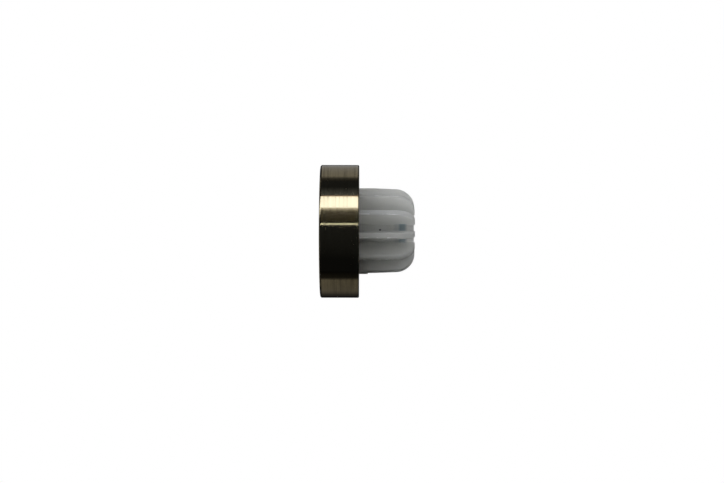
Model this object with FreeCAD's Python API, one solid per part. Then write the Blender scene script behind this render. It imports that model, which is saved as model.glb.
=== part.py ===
import FreeCAD, Part
import math
import os

# A stud finial that closes the end of a 28 mm metal curtain pole. It has three pieces: a turned metal cap,
# a moulded plastic plug with radial fins that pushes into the pole, and the screw that joins the two.
# Lengths are in millimetres. +X runs along the pole's axis, out of the cap and into the pole. +Z is up.
# The origin is on that axis, in the plane where the back of the cap meets the end of the pole.

# The inside diameter of the pole
POLE_BORE = 26.6

# The cap: a turned disc. Its back has a shallow recess that centres the plug, and a blind tapped hole.
CAP_DIAMETER = 41.0
CAP_LENGTH = 11.9
CAP_FRONT_ROUND = 0.6
CAP_BACK_CHAMFER = 0.25
RECESS_CLEARANCE = 0.25
PLUG_SEAT_DEPTH = 0.5
CAP_FLOOR = 2.0
DRILL_POINT_ANGLE = 118.0
HOLE_MOUTH_CHAMFER = 0.4

# The plug: fins at an even pitch, but for one wider gap that has a short key at its root
PLUG_REACH = 17.0
FIN_COUNT = 11
FIN_THICKNESS = 1.9
FIN_EDGE_CHAMFER = 0.25
FIN_BITE = 0.05
ROOT_LAND = 4.6
NOSE_CLEARANCE = 0.2
SHOULDER_RADIUS = 5.9
LEAST_END_FLAT = 0.3
KEY_GAP_ANGLE = 46.0
KEY_WIDTH = 5.0
KEY_LENGTH = 2.7
KEY_CLEARANCE = 0.15
KEY_EDGE_CHAMFER = 0.2
CORE_WALL = 2.2
CORE_SETBACK = 0.3
CORE_RIM_CHAMFER = 0.2
HEAD_SEAT_DEPTH = 5.1

# How far the plug is turned on the cap, in degrees: with no turn, its key points straight down
PLUG_TURN = 2.1

# The screw: M4 with a cross-recessed pan head
SCREW_DIAMETER = 4.0
SCREW_TIP_CHAMFER = 0.5
HEAD_DIAMETER = 8.0
HEAD_HEIGHT = 3.1
HEAD_SIDE_HEIGHT = 1.1
CROSS_SPAN = 4.4
CROSS_FLOOR_SPAN = 2.0
CROSS_SLOT = 1.2
CROSS_FLOOR_SLOT = 0.7
CROSS_DEPTH = 1.9

# Clearances on the radius, and the room that the screw's tip has in front of it
SHANK_CLEARANCE = 0.25
HEAD_CLEARANCE = 0.3
THREAD_CLEARANCE = 0.05
SCREW_TIP_GAP = 0.55

# Sizes that follow from those above
CAP_RADIUS = CAP_DIAMETER / 2
PLUG_SEAT = -PLUG_SEAT_DEPTH
ROOT_RADIUS = POLE_BORE / 2 + FIN_BITE
NOSE_RADIUS = POLE_BORE / 2 - NOSE_CLEARANCE
SEAT_RADIUS = HEAD_DIAMETER / 2 + HEAD_CLEARANCE
CORE_RADIUS = SEAT_RADIUS + CORE_WALL
KEY_RADIUS = POLE_BORE / 2 - KEY_CLEARANCE
CORE_END = PLUG_REACH - CORE_SETBACK
HEAD_SEAT = PLUG_REACH - HEAD_SEAT_DEPTH
FIN_FOOT = CORE_RADIUS - CORE_WALL / 2
FIN_PITCH = (360.0 - KEY_GAP_ANGLE) / (FIN_COUNT - 1)
TAPPED_RADIUS = SCREW_DIAMETER / 2 + THREAD_CLEARANCE
DRILL_POINT = TAPPED_RADIUS / math.tan(math.radians(DRILL_POINT_ANGLE / 2))
TAPPED_DEPTH = CAP_LENGTH - CAP_FLOOR - DRILL_POINT
SCREW_LENGTH = HEAD_SEAT + TAPPED_DEPTH - SCREW_TIP_GAP

ORIGIN = FreeCAD.Vector(0, 0, 0)
AXIS = FreeCAD.Vector(1, 0, 0)

# How close two coordinates are when an edge is picked by its place
SAME = 1e-4


def at(x, radius):
    """A point of a profile, in the XZ plane: x along the axis and its distance from the axis."""
    return FreeCAD.Vector(x, 0, radius)


def line(a, b):
    return Part.makeLine(a, b)


def dome(rim, top):
    """The arc of a shallow dome, from a point on its rim to its top on the axis."""
    rise = top.x - rim.x
    ball = (rim.z**2 + rise**2) / (2 * rise)
    half = math.asin(rim.z / abs(ball)) / 2
    middle = at(top.x - ball * (1 - math.cos(half)), abs(ball) * math.sin(half))
    return Part.Arc(rim, middle, top).toShape()


def turned(edges):
    """The solid that a closed profile sweeps about the axis."""
    return Part.Face(Part.Wire(edges)).revolve(ORIGIN, AXIS, 360)


def chamfered(shape, size, wanted):
    """Chamfers the edges for which wanted(edge) is true."""
    return shape.makeChamfer(size, [edge for edge in shape.Edges if wanted(edge)])


def rim_at(x, radius):
    """Picks the circular edge that runs round the axis at this x and radius."""
    def wanted(edge):
        box = edge.BoundBox
        in_plane = box.XLength < SAME and abs(box.Center.x - x) < SAME
        return in_plane and abs(box.ZMax - radius) < SAME
    return wanted


def cap():
    """The cap, turned about the axis in one piece with its recess, tapped hole and drill point."""
    recess = ROOT_RADIUS + RECESS_CLEARANCE
    mouth = TAPPED_RADIUS + HOLE_MOUTH_CHAMFER
    corner = at(-CAP_LENGTH + CAP_FRONT_ROUND, CAP_RADIUS - CAP_FRONT_ROUND)
    slant = CAP_FRONT_ROUND * math.sqrt(0.5)
    inside = [
        at(-CAP_LENGTH, 0),
        at(-TAPPED_DEPTH - DRILL_POINT, 0),
        at(-TAPPED_DEPTH, TAPPED_RADIUS),
        at(PLUG_SEAT - HOLE_MOUTH_CHAMFER, TAPPED_RADIUS),
        at(PLUG_SEAT, mouth),
        at(PLUG_SEAT, recess),
        at(0, recess),
        at(0, CAP_RADIUS - CAP_BACK_CHAMFER),
        at(-CAP_BACK_CHAMFER, CAP_RADIUS),
        corner + at(0, CAP_FRONT_ROUND),
    ]
    front_rim = corner + at(-CAP_FRONT_ROUND, 0)
    edges = [line(a, b) for a, b in zip(inside, inside[1:])]
    edges.append(Part.Arc(inside[-1], corner + at(-slant, slant), front_rim).toShape())
    edges.append(line(front_rim, inside[0]))
    return turned(edges)


def fin_profile():
    """A fin seen from the side: a full-bore land, a slight lead-in taper, and a rounded shoulder."""
    shoulder = min(SHOULDER_RADIUS, NOSE_RADIUS - CORE_RADIUS - LEAST_END_FLAT)
    centre = at(PLUG_REACH - shoulder, NOSE_RADIUS - shoulder)
    slant = shoulder * math.sqrt(0.5)
    on_arc = centre + at(slant, slant)
    arc_start, arc_end = centre + at(0, shoulder), centre + at(shoulder, 0)
    before = [
        at(PLUG_SEAT, FIN_FOOT),
        at(PLUG_SEAT, ROOT_RADIUS),
        at(ROOT_LAND, ROOT_RADIUS),
        arc_start,
    ]
    after = [arc_end, at(PLUG_REACH, CORE_RADIUS), at(CORE_END, CORE_RADIUS), at(CORE_END, FIN_FOOT)]
    edges = [line(a, b) for a, b in zip(before, before[1:])]
    edges.append(Part.Arc(arc_start, on_arc, arc_end).toShape())
    edges += [line(a, b) for a, b in zip(after, after[1:] + before[:1])]
    return Part.Face(Part.Wire(edges))


def fin():
    """One fin, standing up from the core, with its two long outer edges chamfered."""
    profile = fin_profile()
    profile.translate(FreeCAD.Vector(0, -FIN_THICKNESS / 2, 0))
    slab = profile.extrude(FreeCAD.Vector(0, FIN_THICKNESS, 0))

    def outer(edge):
        box = edge.BoundBox
        in_side = box.YLength < SAME
        return in_side and box.XMax > PLUG_SEAT + SAME and box.Center.z > CORE_RADIUS + SAME

    return chamfered(slab, FIN_EDGE_CHAMFER, outer)


def key():
    """The short key at the root of the plug, a little inside the bore."""
    length, height = KEY_LENGTH - PLUG_SEAT, KEY_RADIUS - FIN_FOOT
    corner = FreeCAD.Vector(PLUG_SEAT, -KEY_WIDTH / 2, FIN_FOOT)
    block = Part.makeBox(length, KEY_WIDTH, height, corner)
    block = block.common(Part.makeCylinder(KEY_RADIUS, length, at(PLUG_SEAT, 0), AXIS))

    def long_and_outer(edge):
        box = edge.BoundBox
        return box.XLength > length - SAME and box.ZMin > CORE_RADIUS

    return chamfered(block, KEY_EDGE_CHAMFER, long_and_outer)


def around(shape, angle):
    """A copy turned about the axis, from straight up towards -Y, by the given degrees."""
    copy = shape.copy()
    copy.rotate(ORIGIN, AXIS, angle + PLUG_TURN)
    return copy


def core():
    """The round core that carries the fins and takes the screw."""
    post = Part.makeCylinder(CORE_RADIUS, CORE_END - PLUG_SEAT, at(PLUG_SEAT, 0), AXIS)
    return chamfered(post, CORE_RIM_CHAMFER, rim_at(CORE_END, CORE_RADIUS))


def screw_way():
    """The hole for the shank and the wider recess for the head."""
    shank_radius = SCREW_DIAMETER / 2 + SHANK_CLEARANCE
    shank = Part.makeCylinder(shank_radius, PLUG_REACH - PLUG_SEAT, at(PLUG_SEAT, 0), AXIS)
    head = Part.makeCylinder(SEAT_RADIUS, HEAD_SEAT_DEPTH, at(HEAD_SEAT, 0), AXIS)
    return shank.fuse(head)


def plug():
    single = fin()
    first = -FIN_PITCH * (FIN_COUNT - 1) / 2
    fins = [around(single, first + i * FIN_PITCH) for i in range(FIN_COUNT)]
    body = core().multiFuse(fins + [around(key(), 180)])
    return body.removeSplitter().cut(screw_way())


def cross_recess():
    """Two crossed slots that narrow towards their floor."""
    top = HEAD_SEAT + HEAD_HEIGHT
    floor = top - CROSS_DEPTH
    ends = [rectangle(floor, CROSS_FLOOR_SPAN, CROSS_FLOOR_SLOT), rectangle(top, CROSS_SPAN, CROSS_SLOT)]
    slot = Part.makeLoft(ends, True, True)
    crossed = slot.copy()
    crossed.rotate(ORIGIN, AXIS, 90)
    return slot.fuse(crossed)


def rectangle(x, width, height):
    """A closed rectangle about the axis, in the plane at this x."""
    y, z = width / 2, height / 2
    corners = [FreeCAD.Vector(x, *pair) for pair in ((-y, -z), (y, -z), (y, z), (-y, z))]
    return Part.makePolygon(corners + corners[:1])


def screw():
    radius = SCREW_DIAMETER / 2
    tip = HEAD_SEAT - SCREW_LENGTH
    head_radius = HEAD_DIAMETER / 2
    side_end = at(HEAD_SEAT + HEAD_SIDE_HEIGHT, head_radius)
    top = at(HEAD_SEAT + HEAD_HEIGHT, 0)
    points = [
        top,
        at(tip, 0),
        at(tip, radius - SCREW_TIP_CHAMFER),
        at(tip + SCREW_TIP_CHAMFER, radius),
        at(HEAD_SEAT, radius),
        at(HEAD_SEAT, head_radius),
        side_end,
    ]
    edges = [line(a, b) for a, b in zip(points, points[1:])]
    edges.append(dome(side_end, top))
    return turned(edges).cut(cross_recess())


def main():
    os.makedirs("parts", exist_ok=True)
    for name, shape in (("end_cap", cap()), ("pole_plug", plug()), ("fixing_screw", screw())):
        shape.exportStep("parts/" + name + ".step")
        print(name, "valid", shape.isValid(), "solids", len(shape.Solids), "mm3", round(shape.Volume, 2))


main()
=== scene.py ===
import math

import bpy
from mathutils import Matrix, Vector


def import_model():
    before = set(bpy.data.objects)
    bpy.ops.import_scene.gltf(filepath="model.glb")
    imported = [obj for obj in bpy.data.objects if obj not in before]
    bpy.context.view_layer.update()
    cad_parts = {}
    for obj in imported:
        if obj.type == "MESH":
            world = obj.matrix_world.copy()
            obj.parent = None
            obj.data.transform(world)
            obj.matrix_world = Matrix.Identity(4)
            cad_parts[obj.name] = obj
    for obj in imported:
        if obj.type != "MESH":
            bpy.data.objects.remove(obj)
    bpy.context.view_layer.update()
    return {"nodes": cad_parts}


# The looks of a curtain pole's stud finial: a brushed antique brass cap, a milky plastic plug with
# fins, and the screw that holds them together. Lengths are in metres, in the frame of the CAD part:
# +X runs out of the cap and into the pole, and +Z is up.

# The camera stands level in front of the object and looks along +Y, with a slight roll
CAMERA_PLACE = (0.0009, -0.453, -0.0031)
CAMERA_ROLL = math.radians(0.12)
LENS = 72.85
SENSOR_WIDTH = 36.0
CLIP_START = 0.01
CLIP_END = 10.0

# The tent is a wide drum of glowing cards about the object's axis, seen only in gloss. Behind the
# cards is its dark wall, and its two ends glow faintly.
TENT_RADIUS = 0.6
TENT_HALF_LENGTH = 1.4
TENT_DARK = 0.007
TENT_END_GLOW = 0.12
WALL_RADIUS = TENT_RADIUS * 1.1
WALL_HALF_LENGTH = TENT_HALF_LENGTH * 1.02
CARD_STEP = 2.0

# The tints of the cards
PLAIN = (1.0, 1.0, 1.0)
COOL = (1.0, 1.16, 1.5)
PALE = (1.0, 1.03, 1.12)
DAYLIGHT = (0.76, 0.84, 1.02)
AMBER = (1.0, 0.6, 0.3)
CREAM = (1.0, 0.98, 0.85)
AQUA = (0.95, 1.04, 1.06)

# How far a card reaches along the axis: near the object, right along the tent, and in its far ends.
# The far ends, or wings, show mostly in the cap's flat faces.
NEAR = (-0.1, 0.1)
SHORT = (-0.4, 0.4)
WHOLE = (-1.4, 1.4)
CAP_WING = (-1.4, -0.4)
PLUG_WING = (0.4, 1.4)

# Each card's name, its first and last angle round the axis, its glow at those two angles, its tint,
# and its reach along the axis. The angles are in degrees from the camera's side, where more than 0
# goes up over the top and less than 0 goes down underneath.
CARDS = (
    ("backdrop_card", 108.5, 160.0, 0.32, 0.32, PALE, NEAR),
    ("backdrop_lip_card", 103.0, 108.5, 0.085, 0.31, PALE, NEAR),
    ("backdrop_fade_card", 96.0, 103.0, 0.024, 0.08, PALE, NEAR),
    ("backdrop_cap_wing", 106.0, 160.0, 0.25, 0.25, PALE, CAP_WING),
    ("backdrop_plug_wing", 106.0, 160.0, 0.15, 0.15, PALE, PLUG_WING),
    ("ceiling_card", 80.0, 96.0, 0.02, 0.02, COOL, NEAR),
    ("softbox_top_card", 61.8, 80.0, 0.15, 0.02, COOL, NEAR),
    ("softbox_edge_card", 61.0, 61.7, 1.7, 1.7, AMBER, WHOLE),
    ("softbox_card", 40.3, 61.0, 3.5, 3.5, DAYLIGHT, WHOLE),
    ("softbox_lip_card", 34.6, 40.3, 0.09, 1.05, PLAIN, WHOLE),
    ("softbox_skirt_card", 16.0, 35.6, 0.066, 0.13, CREAM, NEAR),
    ("slit_card", 11.55, 12.4, 5.2, 5.2, AQUA, SHORT),
    ("room_card", -45.0, 10.0, 0.008, 0.026, COOL, NEAR),
    ("room_cap_wing", -45.0, 10.0, 0.1, 0.03, COOL, CAP_WING),
    ("ground_card", -122.0, -91.0, 0.155, 0.185, PLAIN, NEAR),
    ("ground_lip_card", -91.0, -86.5, 0.13, 0.02, PLAIN, NEAR),
    ("ground_fade_card", -86.0, -72.0, 0.02, 0.002, PLAIN, NEAR),
    ("far_ground_card", -139.0, -122.0, 0.05, 0.155, PLAIN, NEAR),
    ("edge_ground_card", -155.0, -139.0, 0.01, 0.045, PLAIN, NEAR),
    ("ground_cap_wing", -172.0, -128.0, 0.35, 0.35, PLAIN, CAP_WING),
    ("ground_plug_wing", -172.0, -128.0, 0.25, 0.25, PLAIN, PLUG_WING),
)

# The soft lamps all round the object: name, degrees round from the camera's side towards the cap's
# side, degrees up from level, and watts
LAMP_SIZE = 0.35
LAMP_DISTANCE = 0.6
LAMPS = (
    ("top_lamp", 90.0, 60.0, 0.5),
    ("top_back_lamp", 180.0, 60.0, 0.38),
    ("key_lamp", 45.0, 30.0, 1.49),
    ("front_lamp", 0.0, 15.0, 1.13),
    ("low_lamp", 45.0, -30.0, 1.29),
    ("fill_lamp", -45.0, 30.0, 1.03),
    ("end_lamp", -90.0, 10.0, 1.22),
    ("back_lamp", 135.0, 30.0, 0.46),
    ("rim_lamp", -135.0, 20.0, 0.88),
)

# The floor is a pale disc below the object. FLOOR_FADE is the width of the ring over which it fades
# out, and FLOOR_LIFT is a glow that only the camera sees.
FLOOR_HEIGHT = -0.11
FLOOR_RADIUS = 0.19
FLOOR_FADE = 0.08
FLOOR_LIFT = 0.3
FLOOR_SIDES = 64
FLOOR_MOTTLE = 60.0
FLOOR_DARK = (0.86, 0.86, 0.86, 1.0)
FLOOR_LIGHT = (0.9, 0.9, 0.9, 1.0)

# A noise runs from 0 to 1 about a middle of 0.5. Each STEP below is the part of a noise over which
# the thing that it's named after comes in, and each RELIEF is a bump's strength and its depth.

# The brass's streaks, patches of patina and dull flecks: how many there are to a metre
FINE_STREAKS = 3400.0
BROAD_STREAKS = 900.0
PATCHES = 90.0
FLECKS = 2200.0

# The brass's colours
BRASS_DARK = (0.405, 0.332, 0.195, 1.0)
BRASS_LIGHT = (0.427, 0.354, 0.21, 1.0)
BRASS_STEP = (0.35, 0.65)
PATINA = (0.30, 0.235, 0.13, 1.0)
PATINA_STEP = (0.5, 0.8)
PATINA_COVER = 0.5

# The brass's roughness, from dull to bright streaks on the turned side and on the flat faces, which
# are told apart by how squarely they face along the axis, and what patina and flecks add to it
TURNED_ROUGHNESS = (0.25, 0.10)
FACED_ROUGHNESS = (0.31, 0.27)
ROUGHNESS_STEP = (0.38, 0.62)
FACING = (0.8, 0.95)
PATINA_ROUGHNESS = 0.01
PATINA_ROUGHNESS_STEP = (0.4, 0.8)
FLECK_ROUGHNESS = 0.3
FLECK_STEP = (0.78, 0.82)

# The brushing stretches the gloss fully, and the quarter turn lays the stretch across the streaks
BRUSHING = 1.0
QUARTER_TURN = 0.25
BRASS_RELIEF = (0.03, 0.00002)

# Painted shade on the chamfer round the cap's back, where the cap meets the plug: where it starts
# along the axis and outwards
RIM_PAINTED_SHADE = (0.03, 0.025, 0.018, 1.0)
RIM_START = (-0.00028, -0.00022)
RIM_INSIDE = (0.0201, 0.0202)
RIM_COVER = 0.85

# The plastic's clouds and grains: how many there are to a metre
CLOUDS = 220.0
GRAINS = 2600.0

# The plastic's colours, its roughness, how far it scatters light, how much it lets straight through,
# and the soft sheen of its skin
PLASTIC_DARK = (0.58, 0.59, 0.555, 1.0)
PLASTIC_LIGHT = (0.62, 0.63, 0.595, 1.0)
PLASTIC_STEP = (0.35, 0.7)
PLASTIC_ROUGHNESS = (0.45, 0.5)
PLASTIC_ROUGHNESS_STEP = (0.3, 0.7)
PLASTIC_RELIEF = (0.1, 0.00003)
PLASTIC_IOR = 1.5
LIGHT_REACH = 0.04
CLEARNESS = 0.35
SHEEN = 0.06
SHEEN_ROUGHNESS = 0.12

# Painted shade of the screw's dark head, as if seen through the core: its tint, how much a haze and
# then the head add of it, the stretches along the axis over which they come in and go out, and how far
# from the axis and how far down it is painted
PAINTED_HEAD_SHADE = (0.13, 0.2, 0.24, 1.0)
HAZE_COVER = 0.3
HEAD_COVER = 0.6
HAZE_START = (0.0103, 0.0112)
HEAD_START = (0.0119, 0.0125)
HEAD_END = (0.0138, 0.0148)
HEAD_OUTSIDE = (0.0071, 0.0076)
HEAD_BOTTOM = (-0.0037, -0.003)

# A dark speck in the core, just above the fin that points at the camera, and how far from its
# middle it fades out
SPECK_PLACE = (0.0064, -0.0065, 0.00042)
SPECK_EDGE = (0.0002, 0.0004)
SPECK_COLOUR = (0.05, 0.055, 0.06, 1.0)

# The fins' pitch and turn about the axis, from straight up towards -Y, and the stretch of a fin's
# crest, in angles from its middle, that carries painted glints: pale streaks in place of its gloss
FIN_PITCH = math.radians(31.4)
PLUG_TURN = math.radians(2.1)
GLINT_START = math.radians(1.6)
GLINT_END = math.radians(3.0)
PAINTED_GLINT_COLOUR = (0.99, 0.99, 0.985, 1.0)
GLINT_STEP = (0.49, 0.53)

# How many painted glints there are to a metre of crest, how many to a radian across it, and the
# distance from the axis at which a crest starts
GLINTS_ALONG = 380.0
GLINTS_ACROSS = 30.0
CREST = (0.0129, 0.0131)

# The zinc plate on the screw: its spangles to a metre, its colours and its roughness
SPANGLES = 900.0
ZINC_DARK = (0.42, 0.44, 0.47, 1.0)
ZINC_LIGHT = (0.56, 0.58, 0.60, 1.0)
ZINC_ROUGHNESS = (0.28, 0.42)
ZINC_ROUGHNESS_STEP = (0.3, 0.7)
ZINC_RELIEF = (0.1, 0.00003)

WHITE = (1.0, 1.0, 1.0, 1.0)


def new_material(name):
    material = bpy.data.materials.new(name)
    material.use_nodes = True
    material.node_tree.nodes.clear()
    return material


class Tree:
    """Short ways to add nodes and links to one node tree."""

    def __init__(self, tree):
        self.tree = tree

    def add(self, kind, settings=None, **inputs):
        """A new node. Each input is named by its socket, with _ for a space, or by i and its index."""
        node = self.tree.nodes.new(kind)
        for key, value in (settings or {}).items():
            setattr(node, key, value)
        for key, value in inputs.items():
            self.put(node, key.replace("_", " "), value)
        return node

    def put(self, node, key, value):
        by_index = key[0] == "i" and key[1:].isdigit()
        socket = node.inputs[int(key[1:])] if by_index else node.inputs[key]
        if isinstance(value, bpy.types.NodeSocket):
            self.tree.links.new(value, socket)
        else:
            socket.default_value = value

    def math(self, operation, a, b=0.0, c=0.0, clamp=False):
        settings = {"operation": operation, "use_clamp": clamp}
        return self.add("ShaderNodeMath", settings, i0=a, i1=b, i2=c).outputs[0]

    def times(self, a, b):
        return self.math("MULTIPLY", a, b)

    def noise(self, vector, scale, detail=3.0):
        node = self.add("ShaderNodeTexNoise", Vector=vector, Scale=scale, Detail=detail)
        return node.outputs["Fac"]

    def spread(self, value, low, high, out_low=0.0, out_high=1.0):
        """Maps the stretch from low to high onto the other two values, and holds it at its ends."""
        node = self.add("ShaderNodeMapRange", i0=value, i1=low, i2=high, i3=out_low, i4=out_high)
        return node.outputs[0]

    def mix(self, fac, a, b):
        return self.add("ShaderNodeMix", {"data_type": "RGBA"}, i0=fac, i6=a, i7=b).outputs[2]

    def combine(self, x, y, z):
        return self.add("ShaderNodeCombineXYZ", X=x, Y=y, Z=z).outputs[0]

    def split(self, vector):
        return self.add("ShaderNodeSeparateXYZ", Vector=vector).outputs

    def vector(self, operation, a, b=(0.0, 0.0, 0.0)):
        return self.add("ShaderNodeVectorMath", {"operation": operation}, i0=a, i1=b).outputs

    def length(self, vector):
        return self.vector("LENGTH", vector)["Value"]

    def place(self):
        """The place on the object, in its own frame."""
        return self.add("ShaderNodeTexCoord").outputs["Object"]

    def relief(self, height, strength, depth):
        node = self.add("ShaderNodeBump", Strength=strength, Distance=depth, Height=height)
        return node.outputs[0]


def antique_brass():
    """Brass brushed round the axis, darkened by patina, with painted shade on the back chamfer and a
    few dull flecks.
    """
    material = new_material("antique_brass_look")
    t = Tree(material.node_tree)
    place = t.place()
    x, y, z = t.split(place)
    outward = t.combine(0.0, y, z)
    radius = t.length(outward)
    turn = t.split(t.vector("NORMALIZE", outward)["Vector"])
    along = t.math("ADD", x, radius)

    brush = t.noise(t.combine(t.times(along, FINE_STREAKS), turn[1], turn[2]), 1.0, 2.0)
    streak = t.noise(t.combine(t.times(along, BROAD_STREAKS), turn[1], turn[2]), 1.0, 3.0)
    tone = t.math("ADD", t.times(brush, 0.5), t.times(streak, 0.5))
    patina = t.noise(place, PATCHES, 2.0)
    fleck = t.spread(t.noise(place, FLECKS, 1.0), *FLECK_STEP)
    # Painted shade: the back chamfer darkened where the cap meets the plug
    rim = t.times(t.spread(x, *RIM_START), t.spread(radius, *RIM_INSIDE, 0.0, RIM_COVER))

    colour = t.mix(t.spread(tone, *BRASS_STEP), BRASS_DARK, BRASS_LIGHT)
    colour = t.mix(t.spread(patina, *PATINA_STEP, 0.0, PATINA_COVER), colour, PATINA)
    # The painted shade on the back chamfer
    colour = t.mix(rim, colour, RIM_PAINTED_SHADE)

    facing = t.split(t.add("ShaderNodeTexCoord").outputs["Normal"])[0]
    flat = t.spread(t.math("ABSOLUTE", facing), *FACING)
    turned = t.spread(tone, *ROUGHNESS_STEP, *TURNED_ROUGHNESS)
    faced = t.spread(tone, *ROUGHNESS_STEP, *FACED_ROUGHNESS)
    rough = t.add("ShaderNodeMix", i0=flat, i2=turned, i3=faced).outputs[0]
    worn = t.spread(patina, *PATINA_ROUGHNESS_STEP, 0.0, PATINA_ROUGHNESS)
    rough = t.math("ADD", rough, worn)
    rough = t.math("ADD", rough, t.times(fleck, FLECK_ROUGHNESS))

    tangent = t.add("ShaderNodeTangent", {"direction_type": "RADIAL", "axis": "X"})
    shader = t.add(
        "ShaderNodeBsdfPrincipled",
        Base_Color=colour,
        Metallic=1.0,
        Roughness=rough,
        Anisotropic=BRUSHING,
        Anisotropic_Rotation=QUARTER_TURN,
        Tangent=tangent.outputs[0],
        Normal=t.relief(brush, *BRASS_RELIEF),
    )
    t.add("ShaderNodeOutputMaterial", Surface=shader.outputs[0])
    return material


def painted_head_shade(t, x, z, radius):
    """How much painted shade of the screw's head, as if seen through the core, darkens it."""
    haze = t.spread(x, *HAZE_START, 0.0, HAZE_COVER)
    head = t.spread(x, *HEAD_START, 0.0, HEAD_COVER)
    shade = t.times(t.math("ADD", haze, head), t.spread(x, *HEAD_END, 1.0, 0.0))
    inside = t.spread(radius, *HEAD_OUTSIDE, 1.0, 0.0)
    return t.times(shade, t.times(inside, t.spread(z, *HEAD_BOTTOM)))


def painted_glints(t, x, y, z, radius):
    """Painted glints: broken pale streaks along one side of every fin's crest, in place of its gloss.
    """
    turn = t.math("ARCTAN2", t.times(y, -1.0), z)
    aside = t.math("WRAP", t.math("SUBTRACT", turn, PLUG_TURN), FIN_PITCH / 2, -FIN_PITCH / 2)
    past_start = t.math("GREATER_THAN", aside, GLINT_START)
    before_end = t.math("LESS_THAN", aside, GLINT_END)
    line = t.times(t.times(past_start, before_end), t.spread(radius, *CREST))
    spot = t.combine(t.times(x, GLINTS_ALONG), turn, t.times(aside, GLINTS_ACROSS))
    return t.times(line, t.spread(t.noise(spot, 1.0, 2.0), *GLINT_STEP))


def milky_plastic():
    """Plastic that scatters light inside and lets some through, faintly cloudy and grained."""
    material = new_material("milky_plastic_look")
    t = Tree(material.node_tree)
    place = t.place()
    x, y, z = t.split(place)
    radius = t.length(t.combine(0.0, y, z))
    cloud = t.noise(place, CLOUDS, 3.0)
    grain = t.noise(place, GRAINS, 2.0)
    from_speck = t.vector("DISTANCE", place, SPECK_PLACE)["Value"]

    colour = t.mix(t.spread(cloud, *PLASTIC_STEP), PLASTIC_DARK, PLASTIC_LIGHT)
    # Painted shade of the screw's head, as if seen through the core
    colour = t.mix(painted_head_shade(t, x, z, radius), colour, PAINTED_HEAD_SHADE)
    colour = t.mix(t.spread(from_speck, *SPECK_EDGE, 1.0, 0.0), colour, SPECK_COLOUR)
    # Painted glints, pale along one edge of each crest
    colour = t.mix(painted_glints(t, x, y, z, radius), colour, PAINTED_GLINT_COLOUR)

    shader = t.add(
        "ShaderNodeBsdfPrincipled",
        Base_Color=colour,
        Roughness=t.spread(cloud, *PLASTIC_ROUGHNESS_STEP, *PLASTIC_ROUGHNESS),
        IOR=PLASTIC_IOR,
        Subsurface_Weight=1.0,
        Subsurface_Radius=(1.0, 1.0, 1.0),
        Subsurface_Scale=LIGHT_REACH,
        Transmission_Weight=CLEARNESS,
        Coat_Weight=SHEEN,
        Coat_Roughness=SHEEN_ROUGHNESS,
        Normal=t.relief(grain, *PLASTIC_RELIEF),
    )
    t.add("ShaderNodeOutputMaterial", Surface=shader.outputs[0])
    return material


def zinc_steel():
    """Bright zinc plate with a fine spangle."""
    material = new_material("zinc_steel_look")
    t = Tree(material.node_tree)
    spangle = t.noise(t.place(), SPANGLES, 3.0)
    shader = t.add(
        "ShaderNodeBsdfPrincipled",
        Base_Color=t.mix(spangle, ZINC_DARK, ZINC_LIGHT),
        Metallic=1.0,
        Roughness=t.spread(spangle, *ZINC_ROUGHNESS_STEP, *ZINC_ROUGHNESS),
        Normal=t.relief(spangle, *ZINC_RELIEF),
    )
    t.add("ShaderNodeOutputMaterial", Surface=shader.outputs[0])
    return material


def dress(node, material):
    """Gives every material slot of a CAD node the same look."""
    for slot in frame["nodes"][node].material_slots:
        slot.material = material


def glow_material():
    """Emission whose colour is the mesh's own glow."""
    material = new_material("studio_glow")
    t = Tree(material.node_tree)
    glow = t.add("ShaderNodeAttribute", {"attribute_name": "glow"}).outputs["Color"]
    shine = t.add("ShaderNodeEmission", Color=glow)
    t.add("ShaderNodeOutputMaterial", Surface=shine.outputs[0])
    return material


def mesh_object(name, verts, faces, material):
    mesh = bpy.data.meshes.new(name)
    mesh.from_pydata(verts, [], faces)
    mesh.materials.append(material)
    thing = bpy.data.objects.new(name, mesh)
    bpy.context.scene.collection.objects.link(thing)
    return thing


def tent_piece(name, verts, faces, glows, tint, material):
    """A part of the tent, seen only in gloss, whose points glow by the given amounts."""
    thing = mesh_object(name, verts, faces, material)
    attribute = thing.data.attributes.new("glow", "FLOAT_COLOR", "POINT")
    for point, glow in zip(attribute.data, glows):
        point.color = [glow * part for part in tint] + [1.0]
    thing.visible_camera = False
    thing.visible_diffuse = False
    thing.visible_transmission = False
    thing.visible_shadow = False
    thing.visible_volume_scatter = False


def card(name, first, last, first_glow, last_glow, tint, reach, radius, material):
    """A stretch of a drum's wall, between two angles round the axis and two places along it."""
    count = round((last - first) / CARD_STEP) or 1
    verts, glows = [], []
    for i in range(count + 1):
        share = i / count
        angle = math.radians(first + (last - first) * share)
        y, z = -radius * math.cos(angle), radius * math.sin(angle)
        verts += [(x, y, z) for x in reach]
        glows += [first_glow + (last_glow - first_glow) * share] * 2
    faces = [(2 * i, 2 * i + 1, 2 * i + 3, 2 * i + 2) for i in range(count)]
    tent_piece(name, verts, faces, glows, tint, material)


def studio():
    """The tent: its dark wall, its two ends, and its cards."""
    material = glow_material()
    reach = (-WALL_HALF_LENGTH, WALL_HALF_LENGTH)
    card("tent_wall", -180.0, 180.0, TENT_DARK, TENT_DARK, COOL, reach, WALL_RADIUS, material)
    corners = [(y * WALL_RADIUS, z * WALL_RADIUS) for y, z in ((-1, -1), (1, -1), (1, 1), (-1, 1))]
    for name, x in zip(("tent_cap_end", "tent_plug_end"), reach):
        verts = [(x, y, z) for y, z in corners]
        tent_piece(name, verts, [(0, 1, 2, 3)], [TENT_END_GLOW] * 4, PLAIN, material)
    for row in CARDS:
        card(*row, TENT_RADIUS, material)


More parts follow.
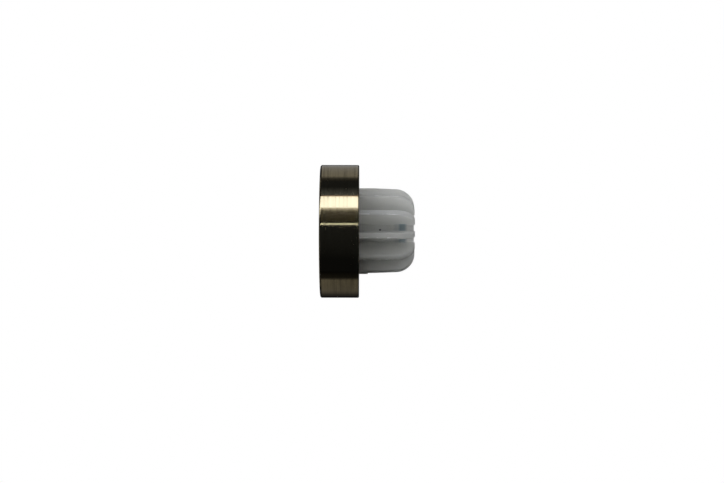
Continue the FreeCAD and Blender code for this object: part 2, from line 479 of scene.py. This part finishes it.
def lamp(name, side, height, power):
    """A square soft lamp aimed at the object, which lights it but isn't seen in gloss."""
    data = bpy.data.lights.new(name, "AREA")
    data.shape = "SQUARE"
    data.size = LAMP_SIZE
    data.energy = power
    thing = bpy.data.objects.new(name, data)
    turn, rise = math.radians(side), math.radians(height)
    level = math.cos(rise)
    place = Vector((-math.sin(turn) * level, -math.cos(turn) * level, math.sin(rise)))
    place *= LAMP_DISTANCE
    thing.location = place
    thing.rotation_mode = "QUATERNION"
    thing.rotation_quaternion = (-place).to_track_quat("-Z", "Y")
    thing.visible_glossy = False
    thing.visible_transmission = False
    thing.visible_camera = False
    bpy.context.scene.collection.objects.link(thing)


def world():
    """White for the camera, in gloss and through the plastic, and no light for the rest."""
    made = bpy.data.worlds.new("studio_world")
    made.use_nodes = True
    made.node_tree.nodes.clear()
    t = Tree(made.node_tree)
    path = t.add("ShaderNodeLightPath").outputs
    seen = t.math("ADD", path["Is Camera Ray"], path["Is Glossy Ray"])
    seen = t.math("ADD", seen, path["Is Transmission Ray"], clamp=True)
    back = t.add("ShaderNodeBackground", Color=WHITE, Strength=seen)
    t.add("ShaderNodeOutputWorld", Surface=back.outputs[0])
    bpy.context.scene.world = made


def floor_look():
    """Pale and matt, fading out towards the disc's rim, and clear from below."""
    material = new_material("floor_look")
    t = Tree(material.node_tree)
    place = t.place()
    fade = t.spread(t.length(place), FLOOR_RADIUS - FLOOR_FADE, FLOOR_RADIUS, 1.0, 0.0)
    colour = t.mix(t.noise(place, FLOOR_MOTTLE), FLOOR_DARK, FLOOR_LIGHT)
    matt = t.add("ShaderNodeBsdfDiffuse", Color=colour)
    seen = t.add("ShaderNodeLightPath").outputs["Is Camera Ray"]
    lift = t.add("ShaderNodeEmission", Strength=t.times(seen, FLOOR_LIFT))
    lit = t.add("ShaderNodeAddShader", i0=matt.outputs[0], i1=lift.outputs[0])
    clear = t.add("ShaderNodeBsdfTransparent")
    below = t.add("ShaderNodeNewGeometry").outputs["Backfacing"]
    solid = t.times(fade, t.math("SUBTRACT", 1.0, below))
    both = t.add("ShaderNodeMixShader", i0=solid, i1=clear.outputs[0], i2=lit.outputs[0])
    t.add("ShaderNodeOutputMaterial", Surface=both.outputs[0])
    return material


def floor():
    """A disc that only the camera sees."""
    angles = [2 * math.pi * i / FLOOR_SIDES for i in range(FLOOR_SIDES)]
    rim = [(FLOOR_RADIUS * math.cos(a), FLOOR_RADIUS * math.sin(a), 0.0) for a in angles]
    faces = [(0, 1 + i, 1 + (i + 1) % FLOOR_SIDES) for i in range(FLOOR_SIDES)]
    thing = mesh_object("floor", [(0.0, 0.0, 0.0)] + rim, faces, floor_look())
    thing.location = (0.0, 0.0, FLOOR_HEIGHT)
    thing.visible_glossy = False
    thing.visible_diffuse = False
    thing.visible_transmission = False


def camera():
    """The view of the photo."""
    data = bpy.data.cameras.new("camera")
    data.lens = LENS
    data.sensor_width = SENSOR_WIDTH
    data.clip_start, data.clip_end = CLIP_START, CLIP_END
    thing = bpy.data.objects.new("camera", data)
    level = Matrix.Rotation(math.pi / 2, 4, "X")
    roll = Matrix.Rotation(CAMERA_ROLL, 4, "Z")
    thing.matrix_world = Matrix.Translation(CAMERA_PLACE) @ level @ roll
    bpy.context.scene.collection.objects.link(thing)
    bpy.context.scene.camera = thing


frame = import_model()

bpy.context.scene.view_settings.view_transform = "Standard"
camera()
world()
studio()
floor()
for row in LAMPS:
    lamp(*row)

dress("end_cap", antique_brass())
dress("pole_plug", milky_plastic())
dress("fixing_screw", zinc_steel())
